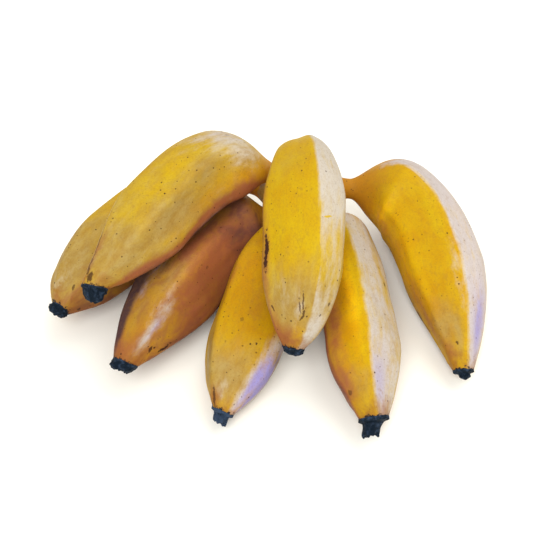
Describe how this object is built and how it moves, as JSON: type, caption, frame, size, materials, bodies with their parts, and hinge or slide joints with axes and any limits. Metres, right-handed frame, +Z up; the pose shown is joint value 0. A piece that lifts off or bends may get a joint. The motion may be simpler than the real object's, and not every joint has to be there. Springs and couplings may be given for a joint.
{
  "type": "hand of bananas",
  "caption": "Hand of short, thick, ridged bananas fanning out from a cut crown, with dried black flower ends, lying on its lower fingers.",
  "frame": {"origin": "on the table under the middle of the whole hand's bounding box", "axes": "+Z up; the middle fingers' tips point along -Y and the cut crown is towards +Y; +X is to the right seen from the tips"},
  "size_m": [0.2153, 0.1664, 0.0927],
  "materials": {
    "peel": "waxy ripe banana peel, satin with a pale bloom",
    "dried_flower": "dry, black and ragged"
  },
  "bodies": {
    "root": {"banana_hand": "peel", "flower_end_far_left": "dried_flower", "flower_end_top_left": "dried_flower", "flower_end_near_left": "dried_flower", "flower_end_front_left": "dried_flower", "flower_end_centre_top": "dried_flower", "flower_end_front_right": "dried_flower", "flower_end_right": "dried_flower"}
  },
  "joints": []
}
